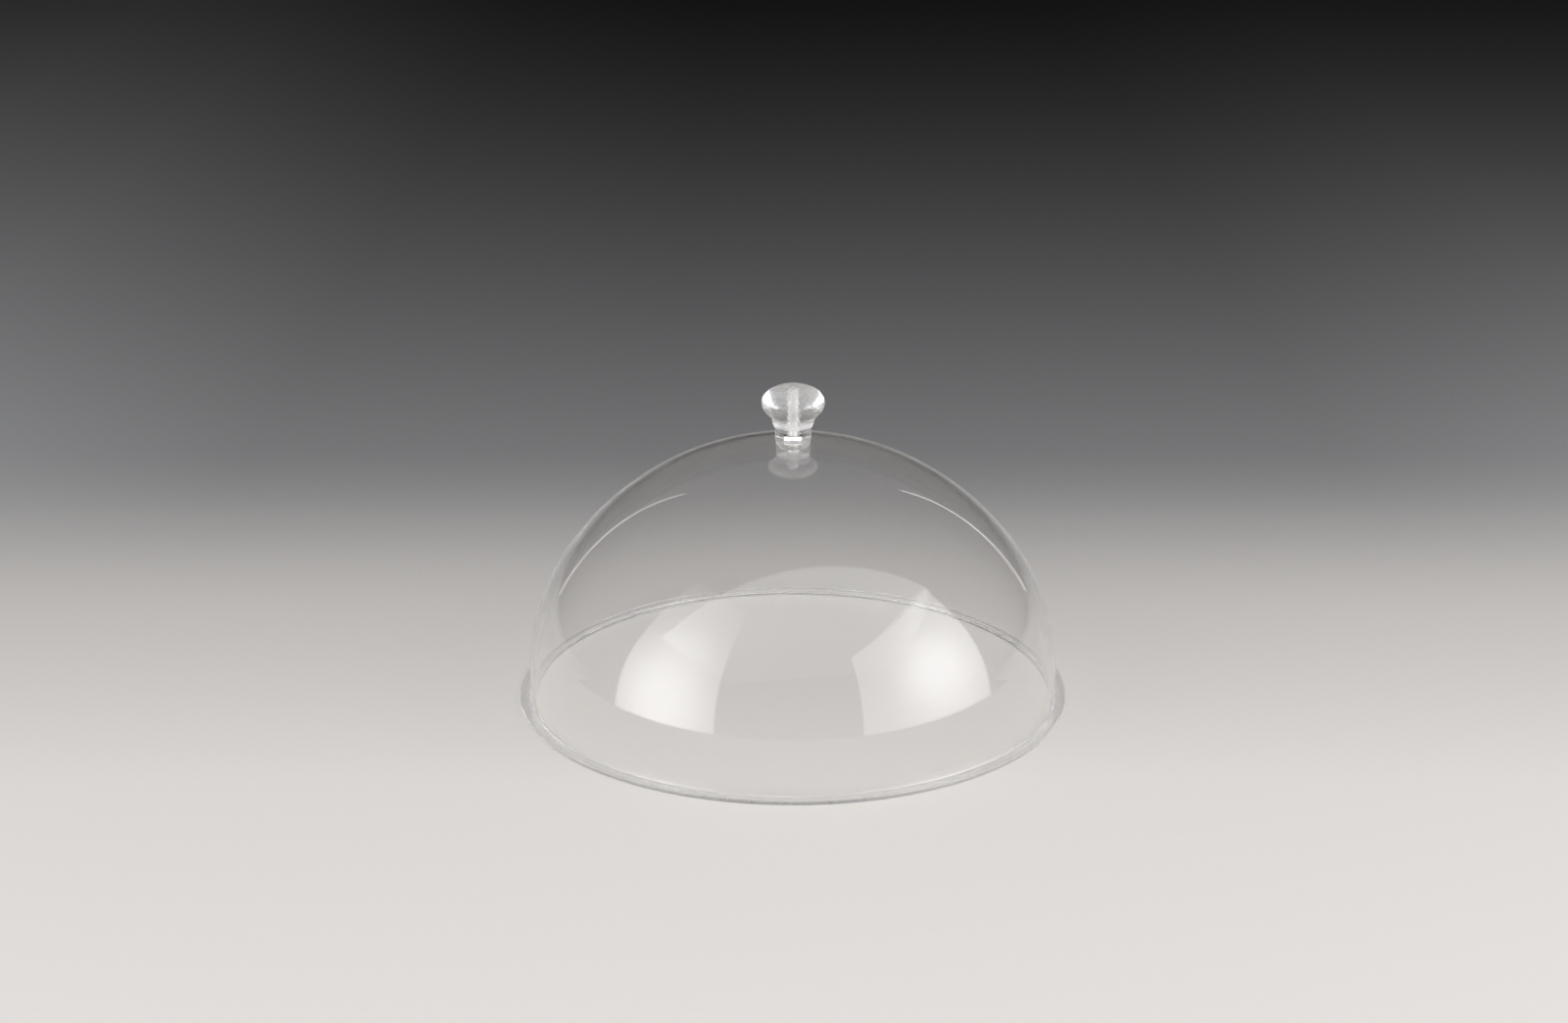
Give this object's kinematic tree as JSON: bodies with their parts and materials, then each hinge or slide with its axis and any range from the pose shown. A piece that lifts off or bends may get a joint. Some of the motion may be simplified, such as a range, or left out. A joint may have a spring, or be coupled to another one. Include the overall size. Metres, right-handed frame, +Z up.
{
  "type": "acrylic food cover",
  "caption": "Clear acrylic dome food cover with a turned-out rim and a clear screwed-on knob, set over a plate or tray of food.",
  "frame": {"origin": "centre of the circle on which the rim stands", "axes": "+Z up along the dome's axis, from the rim to the knob; X and Y lie in the plane of the rim"},
  "size_m": [0.3, 0.3, 0.175],
  "materials": {
    "clear_acrylic": "polished",
    "clear_knob": "polished",
    "clear_soft": "satin",
    "plated_steel": "polished"
  },
  "bodies": {
    "cover": {"dome": "clear_acrylic", "seat_washer": "clear_soft", "inner_washer": "clear_soft"},
    "knob": {"knob": "clear_knob", "knob_nut": "plated_steel"},
    "screw": {"screw": "plated_steel", "flat_washer": "plated_steel"}
  },
  "joints": [
    {"name": "knob_turn", "type": "hinge", "parent": "cover", "child": "knob", "pos_m": [0, 0, 0.14435], "axis": [0, 0, 1], "range_deg": [0, 3240]},
    {"name": "screw_draw", "type": "slide", "parent": "cover", "child": "screw", "axis": [0, 0, -1], "range_m": [0, 0.0063]}
  ],
  "couplings": [
    {"joint": "screw_draw", "follows": "knob_turn", "m_per_rad": 0.00011141}
  ]
}
